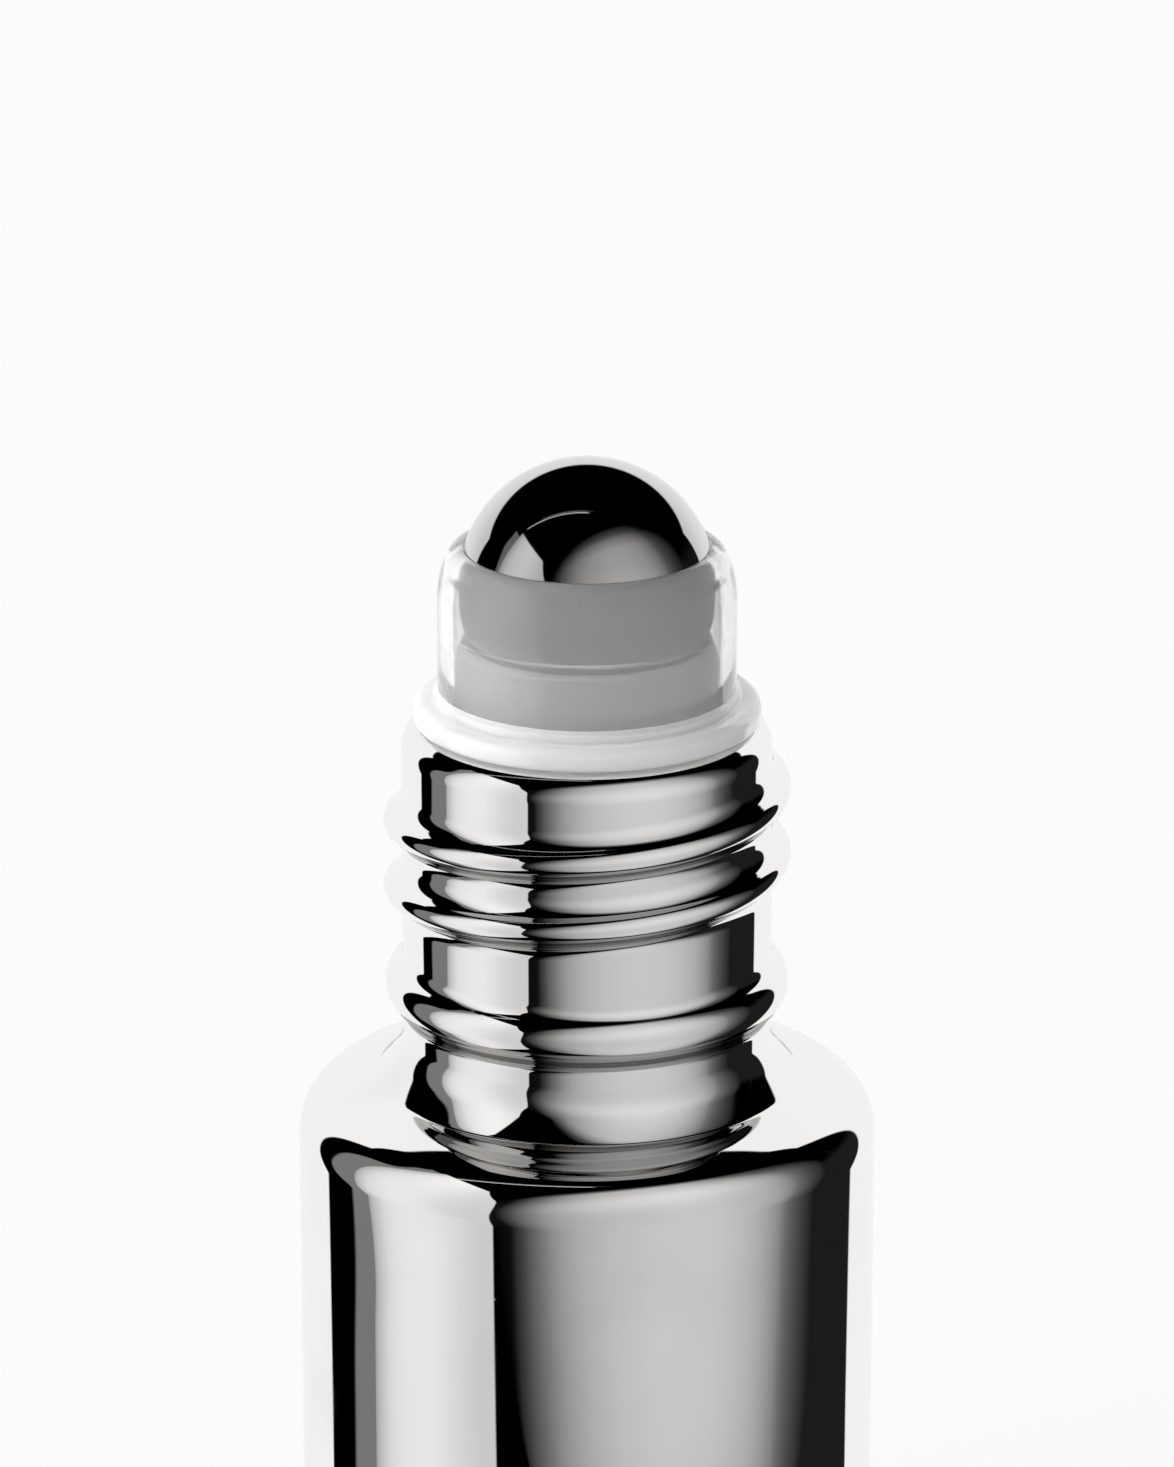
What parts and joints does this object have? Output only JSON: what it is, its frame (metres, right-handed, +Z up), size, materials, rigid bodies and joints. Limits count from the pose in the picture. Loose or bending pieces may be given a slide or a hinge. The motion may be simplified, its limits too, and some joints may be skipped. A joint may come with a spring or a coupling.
{
  "type": "roll on bottle",
  "caption": "Silvered glass roll on bottle with a threaded neck, a clear snap-in roller fitment and a steel ball that rolls liquid out.",
  "frame": {"origin": "centre of the base, on the surface the bottle stands on", "axes": "+Z up the neck, the axis that every piece is turned about; -Y faces the picture's camera"},
  "size_m": [0.0226, 0.0226, 0.07],
  "materials": {
    "silvered_glass": "mirror silver metallised coat over clear glass, opaque",
    "clear_plastic": "glossy natural clear polypropylene",
    "natural_plastic": "glossy milky natural polyethylene",
    "polished_steel": "polished stainless steel ball"
  },
  "bodies": {
    "bottle": {"glass_bottle": "silvered_glass"},
    "fitment": {"roller_housing": "clear_plastic", "ball_seat": "natural_plastic"},
    "ball": {"roller_ball": "polished_steel"}
  },
  "joints": [
    {"name": "fitment_pull", "type": "slide", "parent": "bottle", "child": "fitment", "axis": [0, 0, 1], "range_m": [0, 0.015]},
    {"name": "ball_roll", "type": "hinge", "parent": "fitment", "child": "ball", "pos_m": [0, 0, 0.065], "axis": [1, 0, 0], "continuous": true}
  ]
}
